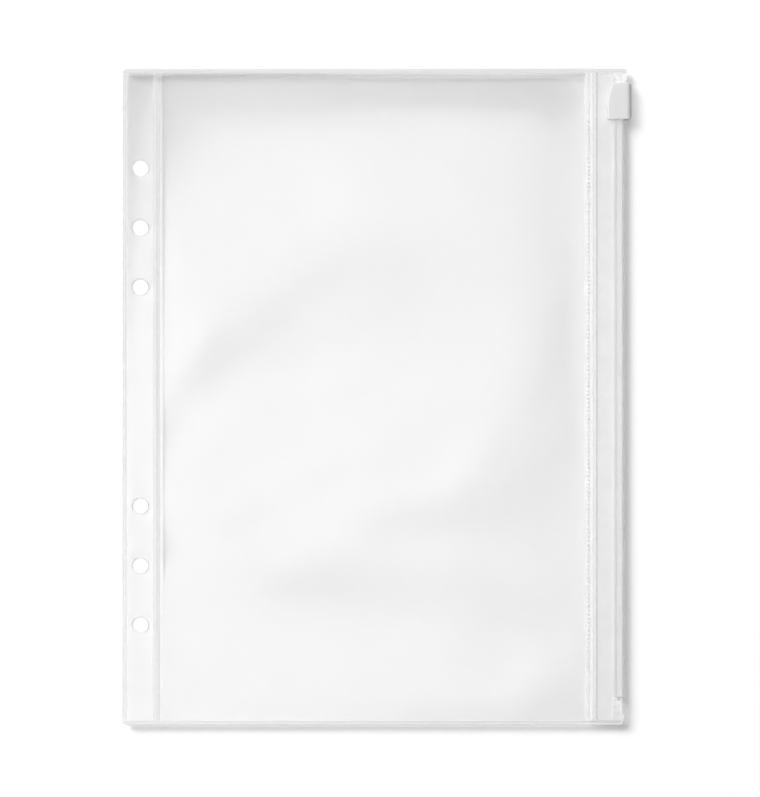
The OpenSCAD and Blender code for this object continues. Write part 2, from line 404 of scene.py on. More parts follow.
# Where the bar also cuts the film off, the melt is squeezed out into a bead, which is milkier still. Its milk
# is also greyed, as painted shade along the pocket's top and bottom edges.
CUT_WELD = ClearVinyl(
    name="cut_welded_vinyl", tint="#F8F8F8", milk="#E3E3E3", haze=(0.7, 0.74), roughness=0.2,
    lamp_pass=0.12, cloud_mm=30.0, grain_depth_mm=0.006,
)
# An extruded rail shows die lines that run its whole length.
EXTRUDED_RAIL = ClearVinyl(
    name="extruded_vinyl_rail", tint="#F4F4F4", milk="#FAFAFA", haze=(0.38, 0.41), roughness=0.22, sheen=0.05,
    lamp_pass=0.3, grain_mm=(0.45, 40.0, 0.45), grain_depth_mm=0.006,
)
# Crushed and melted together, the rails' ends go white in streaks.
CRUSHED_RAIL = ClearVinyl(
    name="crushed_vinyl_rail", tint="#F6F6F6", milk="#FAFAFA", haze=(0.46, 0.66), roughness=0.28, sheen=0.06,
    cloud_mm=1.6, grain_mm=(0.6, 1.5, 0.6), grain_depth_mm=0.01,
)
JOINT = FusedJoint()
SLIDER_PLASTIC = MouldedPolypropylene()
TABLE_CARD = WhiteCard()


def mesh_piece(
    name: str,
    points: np.ndarray,
    faces: Faces,
    material: Material,
    crease_deg: float = 40.0,
) -> Object:
    """Makes a smooth-shaded mesh object.

    Args:
        name: The piece's name.
        points: Corner points, one row each, in metres.
        faces: Corner numbers of each face.
        material: What the piece is made of.
        crease_deg: Edges that turn more than this stay sharp.

    Returns:
        The new object, in the scene.
    """
    mesh = bpy.data.meshes.new(name)
    mesh.from_pydata(points.tolist(), [], faces)
    joined = bmesh.new()
    joined.from_mesh(mesh)
    bmesh.ops.remove_doubles(joined, verts=joined.verts, dist=SAME_PLACE)
    joined.to_mesh(mesh)
    joined.free()
    mesh.polygons.foreach_set("use_smooth", [True] * len(mesh.polygons))
    mesh.set_sharp_from_angle(angle=math.radians(crease_deg))
    mesh.materials.append(material)
    piece = bpy.data.objects.new(name, mesh)
    bpy.context.scene.collection.objects.link(piece)
    return piece


def settle(piece: Object, node: str) -> None:
    """Puts a piece on the pocket's body, in place of its frame node.

    Args:
        piece: The finished piece.
        node: The frame node that it stands for.
    """
    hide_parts(node)
    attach(piece, POCKET_BODY)
    LOG.info("%s: %d faces, for %s", piece.name, len(piece.data.polygons), node)


def fuse(piece: Object, joint: Material, planes: Sequence[tuple[int, float]]) -> None:
    """Takes away the look of the walls at which a piece runs on into the pieces that it is welded to.

    Args:
        piece: The piece.
        joint: What such a wall is made of.
        planes: The axis that each joint stands across, and its place on it.
    """
    mesh = piece.data
    mesh.materials.append(joint)
    slot = len(mesh.materials) - 1
    for face in mesh.polygons:
        corners = [mesh.vertices[i].co for i in face.vertices]
        if any(all(abs(c[axis] - place) < SAME_PLACE for c in corners) for axis, place in planes):
            face.material_index = slot


def dress(node: str, material: Material) -> Object:
    """Gives a frame node its finish.

    Args:
        node: The node's name.
        material: What it is made of.

    Returns:
        The node's object.
    """
    piece = frame["nodes"][node]
    piece.data.materials.clear()
    piece.data.materials.append(material)
    LOG.info("%s: frame node, %s", node, material.name)
    return piece


def grid_faces(rows: int, columns: int) -> Faces:
    """Joins a grid of points, numbered row by row, into quads that look up.

    Args:
        rows: Number of rows, along Y.
        columns: Number of points in a row, along X.

    Returns:
        The quads.
    """
    number = np.arange(rows * columns).reshape(rows, columns)
    corners = (number[:-1, :-1], number[:-1, 1:], number[1:, 1:], number[1:, :-1])
    return np.stack([c.ravel() for c in corners], axis=1).tolist()


def flat_grid(x: np.ndarray, y: np.ndarray) -> Geometry:
    """The points, at height 0, and the faces of a grid whose places are given row by row."""
    return np.stack([x.ravel(), y.ravel(), np.zeros(x.size)], axis=1), grid_faces(*x.shape)


def welded(points: np.ndarray, faces: Faces) -> Geometry:
    """Joins points that lie in the same place.

    Args:
        points: Points that may repeat.
        faces: Faces on those points.

    Returns:
        The points without repeats, and the faces on them.
    """
    rounded = np.round(points / JOIN_GRID)
    _, first, place = np.unique(rounded, axis=0, return_index=True, return_inverse=True)
    return points[first], [[int(place[i]) for i in face] for face in faces]


def thickened(points: np.ndarray, faces: Faces, depth: float) -> Geometry:
    """Closes an open skin into a solid of even depth.

    Args:
        points: Points of the upper skin.
        faces: Its faces, wound so that they look up.
        depth: How far below it the lower skin lies.

    Returns:
        The points and faces of the closed solid.
    """
    count = len(points)
    lower = points - np.array([0.0, 0.0, depth])
    under = [[i + count for i in reversed(face)] for face in faces]
    sides = {(face[i - 1], face[i]) for face in faces for i in range(len(face))}
    rim = sorted((a, b) for a, b in sides if (b, a) not in sides)
    walls = [[b, a, a + count, b + count] for a, b in rim]
    return np.concatenate([points, lower]), faces + under + walls


def merged(parts: Sequence[Geometry]) -> Geometry:
    """Puts several meshes into one, side by side.

    Args:
        parts: Points and faces of each.

    Returns:
        The points and faces of them all.
    """
    points: list[np.ndarray] = []
    faces: Faces = []
    count = 0
    for part_points, part_faces in parts:
        points.append(part_points)
        faces += [[i + count for i in face] for face in part_faces]
        count += len(part_points)
    return np.concatenate(points), faces


def swept(
    section: Pairs,
    stations: Sequence[tuple[float, float, float]],
    middle: float,
    swell: Sequence[float],
) -> Geometry:
    """Sweeps a section, alike above and below its middle plane, along a flat path.

    Args:
        section: Reach from the path and half height in millimetres, from the path outwards, ending at
            height 0.
        stations: Place along the path and heading outwards in radians, for each station.
        middle: Height of the middle plane.
        swell: Factor on the section's height at each station.

    Returns:
        The points and faces of the closed solid.
    """
    ring = [*section, *((reach, -half) for reach, half in reversed(section[:-1]))]
    points = [
        (x + reach * MM * math.cos(heading), y + reach * MM * math.sin(heading), middle + half * MM * factor)
        for (x, y, heading), factor in zip(stations, swell)
        for reach, half in ring
    ]
    around = len(ring)
    faces: Faces = []
    for row in range(len(stations) - 1):
        for i in range(around):
            a, b = row * around + i, row * around + (i + 1) % around
            faces.append([a, b, b + around, a + around])
    last = (len(stations) - 1) * around
    faces.append(list(range(around))[::-1])
    faces.append([last + i for i in range(around)])
    return np.array(points), faces


def straight_weld(
    node: str, section: Pairs, leftwards: bool, stations: int, material: Material, joint: Material
) -> None:
    """Builds a weld that runs straight up the page.

    Args:
        node: The weld's frame node.
        section: Reach across the page and half height, in millimetres.
        leftwards: True where the section reaches to the left from the weld's right side.
        stations: Number of places along the weld.
        material: The welded plastic.
        joint: Its walls where the film runs on into it.
    """
    low, high = span(node, Y)
    left, right = span(node, X)
    places = np.linspace(low, high, stations)
    path = [(right, y, math.pi) for y in places[::-1]] if leftwards else [(left, y, 0.0) for y in places]
    points, faces = swept(section, path, sum(span(node, Z)) / 2, [1.0] * stations)
    strip = mesh_piece(f"{node}_strip", points, faces, material)
    fuse(strip, joint, [(X, left), (X, right), (Y, low), (Y, high)])
    settle(strip, node)


def ease(t: np.ndarray) -> np.ndarray:
    """Goes from 0 to 1 with a level start and end."""
    t = np.clip(t, 0, 1)
    return t * t * (3 - 2 * t)


def spring(t: np.ndarray) -> np.ndarray:
    """Goes from 0 to 1 with a steep start and a level end."""
    return 1 - (1 - np.clip(t, 0, 1)) ** 3


def soft_start(distance: np.ndarray, run: float) -> np.ndarray:
    """A distance that grows slowly over its first run, so that a slope made from it sets in softly."""
    distance = np.maximum(distance, 0)
    return distance * distance / (distance + run)


def graded(start: float, stop: float, fine: float, coarse: float, growth: float = 0.35) -> np.ndarray:
    """Places from start to stop, close together near both ends and wider between.

    Args:
        start: First place.
        stop: Last place.
        fine: Least spacing, at the ends.
        coarse: Most spacing, in the middle.
        growth: How much wider the spacing gets for each unit of distance from an end.

    Returns:
        The places in order.
    """
    middle = (start + stop) / 2
    steps = [0.0]
    while steps[-1] < middle - start:
        steps.append(steps[-1] + min(coarse, fine + growth * steps[-1]))
    half = np.array(steps) * (middle - start) / steps[-1]
    return np.concatenate([start + half, (stop - half)[-2::-1]])


@dataclass(frozen=True)
class Fold:
    """A soft ridge or hollow in the film.

    Attributes:
        x: Middle of the fold across the page, in millimetres from the frame's origin.
        y: Middle of the fold up the page.
        heading: Direction in which it runs, in degrees from X.
        length: Half its length.
        width: Half its width.
        height: Height of its crest, or depth if negative.
    """

    x: float
    y: float
    heading: float
    length: float
    width: float
    height: float

    def rise(self, x: np.ndarray, y: np.ndarray) -> np.ndarray:
        """Height that the fold adds.

        Args:
            x: Places across the page, in metres.
            y: Places up the page, in metres.

        Returns:
            Heights in metres.
        """
        turn = math.radians(self.heading)
        dx, dy = x / MM - self.x, y / MM - self.y
        along = (dx * math.cos(turn) + dy * math.sin(turn)) / self.length
        across = (dy * math.cos(turn) - dx * math.sin(turn)) / self.width
        return self.height * MM * np.exp(-along ** 2 - across ** 2)


@dataclass
class FilmSheet:
    """One sheet of film: the pillowed panel and the punched margin, which the spine weld parts.

    Attributes:
        side: Front or back sheet.
        material: The film.
        joint: Its walls where it runs on into a weld.
        folds: Soft ridges and hollows of the panel.
        thickness: Of the film.
        spine_shoulder: Width of the slope from the spine weld up to the panel's crown.
        top_shoulder: Width of the slope from the top ledge down the page up to the crown.
        top_run: Distance in which that slope sets in, on the panel and on the margin.
        low_shoulder: Width of the slope from the bottom weld up to the crown.
        spine_ledge: Width of the strip beside the spine weld that lies flat.
        ledge: Width of the strip beside the top weld that lies almost flat.
        ledge_rise: Height that the film gains across that strip.
        corner_shoulder: Width of the slope beside the spine weld at the panel's top, where the film is taut.
        corner_pull: Share of the crown that the film reaches on that slope.
        corner_run: Distance below the top in which that slope widens.
        fold_stop: Distance from spine and zip in which the folds run out.
        touch: How softly the film comes to rest where a hollow reaches the middle plane.
        lap_shoulders: Width of the slope from the crown down to the zip, at places up the page, both in
            millimetres.
        lap_blur: Shifts up the page, in millimetres, over which those widths are averaged.
        flange_rise: Height of the panel's zip edge over the middle plane.
        puff: Height to which the margin swells between its welds.
        puff_run: Length of the slope at the margin's two ends.
        burr: Height of the rim that the punch raises round a hole.
        burr_width: Width of that rim.
        mesh_steps: Spacing of the panel's mesh at its edges and in its middle.
        margin_steps: Spacing of the margin's mesh beside a hole and between two.
        ledge_rows: Mesh rows on the strip beside the top weld.
        hole_sides: Sides of the polygon that a hole is drawn with.
        hole_rings: Places of the mesh rings round a hole, from the square around it, 1, to its edge, 0.
        cut: Width and length of the sheet as it was cut, before it was welded. Not used.
        low: The film's lower end.
        high: Its upper end.
        middle: Height of the plane in which both sheets meet.
        crown: Height of the panel's crown over that plane.
        margin_x: Where the margin starts and ends across the page.
        panel_x: Where the panel starts and ends.
    """

    side: Side
    material: Material
    joint: Material
    folds: Sequence[Fold] = ()
    thickness: float = 0.2 * MM
    spine_shoulder: float = 157 * MM
    top_shoulder: float = 23.4 * MM
    top_run: float = 2.5 * MM
    low_shoulder: float = 77 * MM
    spine_ledge: float = 0.9 * MM
    ledge: float = 1.1 * MM
    ledge_rise: float = 0.07 * MM
    corner_shoulder: float = 30 * MM
    corner_pull: float = 0.24
    corner_run: float = 50 * MM
    fold_stop: float = 9 * MM
    touch: float = 0.04 * MM
    lap_shoulders: Pairs = (
        (-90, 19), (-80, 35), (-66, 53), (-40, 44), (-25, 23), (-8, 24), (15, 22), (70, 44), (92, 16),
    )
    lap_blur: Sequence[float] = (-10, -6, -2, 2, 6, 10)
    flange_rise: float = 0.4 * MM
    puff: float = 0.09 * MM
    puff_run: float = 14 * MM
    burr: float = 0.11 * MM
    burr_width: float = 0.4 * MM
    mesh_steps: tuple[float, float] = (0.2 * MM, 1.25 * MM)
    margin_steps: tuple[float, float] = (0.5 * MM, 1.5 * MM)
    ledge_rows: int = 5
    hole_sides: int = 32
    hole_rings: Sequence[float] = (1.0, 0.6, 0.25, 0.17, 0.1, 0.04, 0.0)
    cut: tuple[float, float] = (151.9 * MM, 210 * MM)
    low: float = field(init=False)
    high: float = field(init=False)
    middle: float = field(init=False)
    crown: float = field(init=False)
    margin_x: tuple[float, float] = field(init=False)
    panel_x: tuple[float, float] = field(init=False)

    def __post_init__(self) -> None:
        """Takes the sheet's places from the frame."""
        node = f"{self.side.value}_sheet"
        self.low, self.high = span(node, Y)
        bottom, top = span(node, Z)
        self.middle = bottom if self.side is Side.FRONT else top
        self.crown = top - bottom - self.thickness
        margin_end, panel_start = span("spine_weld", X)
        self.margin_x = span("edge_weld", X)[1], margin_end
        self.panel_x = panel_start, span(f"{self.side.value}_lap", X)[0]

    def panel_rise(self, x: np.ndarray, y: np.ndarray) -> np.ndarray:
        """Height of the panel's inner face over the middle plane.

        Args:
            x: Places across the page.
            y: Places up the page.

        Returns:
            Heights, always upwards from the middle plane.
        """
        left, right = self.panel_x
        from_spine, from_lap = np.maximum(x - left - self.spine_ledge, 0), right - x
        below = self.high - self.ledge - y
        ends = spring((y - self.low) / self.low_shoulder) * spring(
            soft_start(below, self.top_run) / self.top_shoulder
        )
        taut = self.corner_pull * ease(1 - below / self.corner_run)
        swell = (1 - taut) * ease(from_spine / self.spine_shoulder) + taut * spring(
            from_spine / self.corner_shoulder
        )
        lap_shoulder = MM * np.mean(
            [np.interp(y / MM + shift, *zip(*self.lap_shoulders)) for shift in self.lap_blur], axis=0
        )
        pillow = self.crown * swell * ease(from_lap / lap_shoulder)
        flange = self.flange_rise * ease(1 - from_lap / lap_shoulder)
        waves = sum((fold.rise(x, y) for fold in self.folds), np.zeros_like(x))
        inside = spring(from_spine / self.fold_stop) * ease(from_lap / self.fold_stop)
        ledge = self.ledge_rise * np.clip((self.high - y) / self.ledge, 0, 1)
        rise = (pillow + flange + waves * inside) * ends
        lifted = (rise + np.hypot(rise, self.touch) - self.touch) / 2
        return lifted + ledge * spring(from_spine / self.ledge)

    def panel(self) -> Geometry:
        """The pillowed panel.

        Returns:
            The points and faces of its closed solid.
        """
        columns = graded(*self.panel_x, *self.mesh_steps)
        rows = np.concatenate([
            graded(self.low, self.high - self.ledge, *self.mesh_steps),
            np.linspace(self.high - self.ledge, self.high, self.ledge_rows)[1:],
        ])
        x, y = np.meshgrid(columns, rows)
        rise = self.panel_rise(x, y)
        return self.skin(x.ravel(), y.ravel(), rise.ravel(), grid_faces(len(rows), len(columns)))

    def skin(self, x: np.ndarray, y: np.ndarray, rise: np.ndarray, faces: Faces) -> Geometry:
        """Gives a surface its side and the film's thickness.

        Args:
            x: Points across the page.
            y: Points up the page.
            rise: Height of the film's inner face over the middle plane.
            faces: Faces on those points, wound upwards.

        Returns:
            The points and faces of the closed film.
        """
        top = self.middle + rise + self.thickness if self.side is Side.FRONT else self.middle - rise
        return thickened(np.stack([x, y, top], axis=1), faces, self.thickness)

    def margin(self) -> Geometry:
        """The punched margin: a strip with a round hole at each of the binder's rings.

        Returns:
            The points and faces of its closed solid.
        """
        left, right = self.margin_x
        width = right - left
        holes = sorted(
            (mount for mount in frame["record"]["mounts"] if mount["name"].startswith("ring_hole")),
            key=lambda mount: mount["pos_m"][Y],
        )
        across = np.linspace(left, right, self.hole_sides // 4 + 1)
        parts: list[Geometry] = []
        start = self.low
        for hole in holes + [None]:
            stop = hole["pos_m"][Y] - width / 2 if hole else self.high
            parts.append(flat_grid(*np.meshgrid(across, graded(start, stop, *self.margin_steps))))
            if hole:
                start = stop + width
                parts.append(self.punch(hole, across, stop))
        flat, joined = welded(*merged(parts))
        x, y = flat[:, X], flat[:, Y]
        t = (x - left) / width
        ends = spring((y - self.low) / self.puff_run) * spring(
            soft_start(self.high - y, self.top_run) / self.puff_run
        )
        rise = self.puff * 4 * t * (1 - t) * ends
        for hole in holes:
            reach = np.hypot(x - hole["pos_m"][X], y - hole["pos_m"][Y]) - hole["dims"]["r_mm"] * MM
            rise = rise + self.burr * ease(1 - reach / self.burr_width)
        return self.skin(x, y, rise, joined)

    def punch(self, hole: Mapping[str, Any], across: np.ndarray, bottom: float) -> Geometry:
        """A square of the margin with its round hole.

        Args:
            hole: The ring hole's mount.
            across: Places of the square's points along each of its sides.
            bottom: The square's lower side.

        Returns:
            The points and faces of the flat square.
        """
        left, right = across[0], across[-1]
        top = bottom + right - left
        up = bottom + (across - left)
        side = np.ones(len(across) - 1)
        square_x = np.concatenate([across[:-1], side * right, across[:0:-1], side * left])
        square_y = np.concatenate([side * bottom, up[:-1], side * top, up[:0:-1]])
        lower_left = np.radians(-135)
        turns = lower_left + np.arange(self.hole_sides) * 2 * np.pi / self.hole_sides
        radius = hole["dims"]["r_mm"] * MM
        circle_x = hole["pos_m"][X] + radius * np.cos(turns)
        circle_y = hole["pos_m"][Y] + radius * np.sin(turns)
        shares = np.array(self.hole_rings)[:, None]
        x = square_x * shares + circle_x * (1 - shares)
        y = square_y * shares + circle_y * (1 - shares)
        return flat_grid(*(np.concatenate([rings, rings[:, :1]], axis=1) for rings in (x, y)))

    def build(self) -> None:
        """Builds the sheet and puts it in its place."""
        points, faces = merged([self.panel(), self.margin()])
        film = mesh_piece(f"{self.side.value}_film", points, faces, self.material)
        across = [(X, place) for place in (*self.margin_x, *self.panel_x)]
        fuse(film, self.joint, [*across, (Y, self.low), (Y, self.high)])
        settle(film, f"{self.side.value}_sheet")


@dataclass
class RimWelds:
    """The welds round the pocket's edge: a pressed land between two soft beads.

    Attributes:
        edge_material: The welded plastic of the margin's edge.
        end_material: The welded plastic of the top and the bottom, greyed as painted shade along those edges.
        joint: Their walls where the film runs on into them.
        section: Reach from the inner boundary and half height, in millimetres.
        corner_steps: Number of steps in a rounded corner.
        stations: Number of places along a weld.
        zip_stations: Number of places along the zip's end of the top and the bottom weld.
        zip_swell: Factor on the height where the weld also takes in the zip's flanges.
        zip_ramp: Distance in which it grows to that.
    """

    edge_material: Material
    end_material: Material
    joint: Material
    section: Pairs = (
        (0.0, 0.18), (0.12, 0.2), (0.28, 0.205), (0.42, 0.18), (0.55, 0.155), (0.92, 0.155),
        (1.06, 0.18), (1.2, 0.2), (1.34, 0.18), (1.45, 0.1), (1.5, 0.0),
    )
    corner_steps: int = 8
    stations: int = 60
    zip_stations: int = 24
    zip_swell: float = 1.3
    zip_ramp: float = 1.2 * MM

    def end(self, node: str, upwards: bool) -> None:
        """Builds the weld across the top or the bottom, with its two rounded corners.

        Args:
            node: The weld's frame node.
            upwards: True for the top weld, whose outer edge looks up the page.
        """
        reach = self.section[-1][0] * MM
        left, right = span(node, X)
        bottom, top = span(node, Y)
        middle = sum(span(node, Z)) / 2
        inner = bottom if upwards else top
        first, last = left + reach, right - reach
        zip_start = span("front_lap", X)[0]
        turn = [math.pi / 2 * i / self.corner_steps for i in range(self.corner_steps)]
        along = np.concatenate([
            np.linspace(first, zip_start, self.stations), np.linspace(zip_start, last, self.zip_stations)[1:],
        ])
        sign = 1 if upwards else -1
        stations = [(first, inner, sign * (math.pi - a)) for a in turn]
        stations += [(x, inner, sign * math.pi / 2) for x in along]
        stations += [(last, inner, sign * (math.pi / 2 - a)) for a in turn[1:] + [math.pi / 2]]
        if upwards:
            stations.reverse()
        swell = [
            1 + (self.zip_swell - 1) * float(ease(np.array((x - zip_start) / self.zip_ramp)))
            for x, _, _ in stations
        ]
        points, faces = swept(self.section, stations, middle, swell)
        strip = mesh_piece(f"{node}_strip", points, faces, self.end_material)
        fuse(strip, self.joint, [(Y, inner)])
        settle(strip, node)

    def build(self) -> None:
        """Builds the edge, top and bottom welds."""
        straight_weld("edge_weld", self.section, True, self.stations, self.edge_material, self.joint)
        self.end("top_weld", True)
        self.end("bottom_weld", False)


@dataclass
class SpineWeld:
    """The weld between margin and panel: a valley towards the margin and a ridge towards the panel.

    Attributes:
        material: The welded plastic.
        joint: Its walls where the film runs on into it.
        section: Reach from the margin side and half height, in millimetres.
        stations: Number of places along the weld.
    """

    material: Material
    joint: Material
    section: Pairs = (
        (0.0, 0.2), (0.3, 0.192), (0.6, 0.165), (0.8, 0.14), (0.95, 0.14), (1.3, 0.2),
        (1.65, 0.262), (1.8, 0.275), (1.95, 0.262), (2.1, 0.22), (2.2, 0.2), (2.2, 0.0),
    )
    stations: int = 60

    def build(self) -> None:
        """Builds the weld."""
        straight_weld("spine_weld", self.section, False, self.stations, self.material, self.joint)


@dataclass
class LapSeam:
    """Where a sheet is welded onto its zip flange, with the knurled line that the welding wheel pressed.

    Attributes:
        side: Front or back lap.
        material: The welded plastic.
        rim_highlight: The same plastic, white and hazy along the wheel's rim track, which paints a highlight
            line there.
        bitten: The same plastic, greyed in the teeth on the rim's panel side as painted shade in their pits.
        joint: Its wall where the film runs on into it.
        pitch: Spacing of the knurl's teeth along the seam, coarser than the real 1 mm so that they show. It
            is fitted to the seam's length.
        steps: Mesh rows in each pitch.
        bite: Share of the pitch on either side of a tooth's middle that the tooth takes.
        run_in: Distance from either end of the seam in which the teeth grow to their full depth.
        rim: Places across the seam between which the wheel's rim ran, in millimetres.
        rim_depth: Depth of its track, in millimetres.
        teeth: Places across the seam and depths of the teeth on either side of it, in millimetres.
        columns: Further places of mesh columns across the seam, in millimetres.
        edge_run: Width of the strip beside the film's cut edge that is pressed down, in millimetres.
        edge_fall: How far it is pressed down, in millimetres.
        edge_columns: Mesh columns across it.
        crease_deg: Edges of the teeth that turn more than this stay sharp.
    """

    side: Side
    material: Material
    rim_highlight: Material
    bitten: Material
    joint: Material
    pitch: float = 1.3 * MM
    steps: int = 8
    bite: float = 0.2
    run_in: float = 30 * MM
    rim: tuple[float, float] = (1.62, 2.36)
    rim_depth: float = 0.03
    teeth: Pairs = (
        (0.9, 0.0), (1.0, 0.022), (1.52, 0.022), (1.62, 0.0),
        (2.36, 0.0), (2.5, 0.012), (3.2, 0.012), (3.4, 0.0),
    )
    columns: Sequence[float] = (0.0, 0.3, 0.7, 1.3, 2.0, 2.95)
    edge_run: float = 0.5
    edge_fall: float = 0.1
    edge_columns: int = 4
    crease_deg: float = 18.0

    def from_tooth(self, y: np.ndarray) -> np.ndarray:
        """Distance along the seam from the nearest tooth's middle, in pitches."""
        return np.abs((y / self.pitch + 0.5) % 1 - 0.5)

    def depth(self, x: np.ndarray, y: np.ndarray) -> np.ndarray:
        """Depth of the knurl below the seam's face.

        Args:
            x: Distances across the seam, from its panel edge.
            y: Distances along the seam.

        Returns:
            Depths in metres.
        """
        across = x / MM
        pressed = ease(np.minimum(y, y.max() - y) / self.run_in)
        bitten = np.clip(1 - self.from_tooth(y) / self.bite, 0, 1)
        tooth = np.interp(across, *zip(*self.teeth)) * bitten * pressed
        track = self.rim_depth * ((across >= self.rim[0]) & (across <= self.rim[1]))
        fall = self.edge_fall * ease((across - across.max() + self.edge_run) / self.edge_run)
        return (tooth + track + fall) * MM

    def build(self) -> None:
        """Builds the seam as one closed piece."""
        node = f"{self.side.value}_lap"
        left, right = span(node, X)
        low, high = span(node, Y)
        bottom, top = span(node, Z)
        width, teeth = (right - left) / MM, round((high - low) / self.pitch)
        self.pitch = (high - low) / teeth
        falling = [width - self.edge_run * i / self.edge_columns for i in range(self.edge_columns + 1)]
        stops = sorted({*self.columns, *self.rim, *(place for place, _ in self.teeth), *falling})
        rows = np.linspace(0, high - low, teeth * self.steps + 1)
        x, y = np.meshgrid(np.array(stops) * MM, rows)
        dent = self.depth(x, y)
        upper = top - dent if self.side is Side.FRONT else np.full(x.shape, top)
        lower = bottom + dent if self.side is Side.BACK else np.full(x.shape, bottom)
        skin = np.stack([x.ravel() + left, y.ravel() + low, upper.ravel()], axis=1)
        points, faces = thickened(skin, grid_faces(*x.shape), 0.0)
        points[len(skin):, Z] = lower.ravel()
        seam = mesh_piece(f"{node}_seam", points, faces, self.material, self.crease_deg)
        # The rim's track gets the painted highlight, and the tooth pits get the painted shade.
        for material in (self.rim_highlight, self.bitten):
            seam.data.materials.append(material)
        for polygon in seam.data.polygons:
            across, along = (polygon.center[X] - left) / MM, polygon.center[Y] - low
            pressed = min(along, high - low - along) > self.run_in / 2
            if self.rim[0] < across < self.rim[1]:
                polygon.material_index = 1
            elif self.teeth[0][0] < across < self.rim[0] and pressed and self.from_tooth(along) < self.bite:
                polygon.material_index = 2
        fuse(seam, self.joint, [(X, left)])
        settle(seam, node)


@dataclass
class PressZip:
    """The two extruded zip halves, and the ends where their rails are crushed together.

    Attributes:
        material: The extruded plastic.
        crushed: The same plastic where it is crushed.
    """

    material: Material
    crushed: Material

    def build(self) -> None:
        """Dresses the zip's frame nodes."""
        for half in ("zip_front_half", "zip_back_half"):
            dress(half, self.material)
        for stop in ("zip_top_stop", "zip_bottom_stop"):
            dress(stop, self.crushed)


@dataclass
class ZipSlider:
    """The moulded slider that runs along the rails.

    Attributes:
        material: The moulded plastic.
        round_edge: Radius of its broken edges.
        round_steps: Facets across a broken edge.
        sharp_deg: Edges that turn more than this are broken.
    """

    material: Material
    round_edge: float = 0.5 * MM
    round_steps: int = 3
    sharp_deg: float = 35.0

    def build(self) -> None:
        """Dresses the slider's frame node and breaks its sharp edges."""
        piece = dress("slider", self.material)
        rounding = piece.modifiers.new("broken_edges", "BEVEL")
        rounding.width = self.round_edge
        rounding.segments = self.round_steps
        rounding.limit_method = "ANGLE"
        rounding.angle_limit = math.radians(self.sharp_deg)


@dataclass(frozen=True)
class Softbox:
    """A flat lamp behind a diffuser.

    Attributes:
        name: The lamp's name.
        place: Middle of its face, in metres.
        aim: The point that it looks at.
        width: Of its face.
        depth: Of its face.
        power: In watts.
        turn_deg: How far it is turned about its own axis.
        in_gloss: Whether glossy surfaces mirror its face.
        on_matt: Whether it lights matt surfaces.
    """

    name: str
    place: tuple[float, float, float]
    aim: tuple[float, float, float]
    width: float
    depth: float
    power: float
    turn_deg: float = 0.0
    in_gloss: bool = True
    on_matt: bool = True

    def build(self) -> None:
        """Hangs the lamp."""
        data = bpy.data.lights.new(self.name, "AREA")
        data.shape = "RECTANGLE"
        data.size, data.size_y = self.width, self.depth
        data.energy = self.power
        lamp = bpy.data.objects.new(self.name, data)
        bpy.context.scene.collection.objects.link(lamp)
        lamp.location = self.place
        lamp.visible_glossy = self.in_gloss
        lamp.visible_diffuse = self.on_matt
        look = Vector(self.aim) - Vector(self.place)
        turn = Quaternion((0.0, 0.0, 1.0), math.radians(self.turn_deg))
        lamp.rotation_euler = (look.to_track_quat("-Z", "Y") @ turn).to_euler()


@dataclass(frozen=True)
class SoftboxBank:
    """Overlapping softboxes overhead, cornerwise to the page, whose light in the film's gloss fades in steps.

    Attributes:
        reaches: How far each softbox reaches from above the page's middle towards its top left, its top
            right and its bottom right, and how bright the softbox is.
        depth: How far all of them reach towards the page's bottom left.
        height: Of the lowest softbox.
        spacing: Height of each softbox over the one before.
        turn_deg: Turn of the bank about the upright, so that it stands cornerwise.
    """

    reaches: Sequence[tuple[float, float, float, float]] = (
        (0.243, 0.39, 0.52, 0.82), (0.224, 0.28, 0.25, 0.42), (0.273, 0.36, 0.34, 0.43),
        (0.286, 0.5, 0.5, 0.29), (0.296, 0.05, 0.186, 0.57), (0.221, 0.08, -0.12, 0.25),
    )
    depth: float = 1.2
    height: float = 1.3
    spacing: float = 0.004
    turn_deg: float = 45.0

    def softboxes(self) -> list[Softbox]:
        """The single softboxes.

        Returns:
            The softboxes, which only show in gloss.
        """
        boxes = []
        turn = math.radians(self.turn_deg)
        for number, (top_left, top_right, low_right, brightness) in enumerate(self.reaches):
            width, length = top_right + self.depth, top_left + low_right
            u, v = (top_right - self.depth) / 2, (top_left - low_right) / 2
            x, y = u * math.cos(turn) - v * math.sin(turn), u * math.sin(turn) + v * math.cos(turn)
            boxes.append(Softbox(
                f"overhead_softbox_{number + 1}", (x, y, self.height + self.spacing * number), (x, y, 0.0),
                width, length, math.pi * width * length * brightness, turn_deg=self.turn_deg, on_matt=False,
            ))
        return boxes


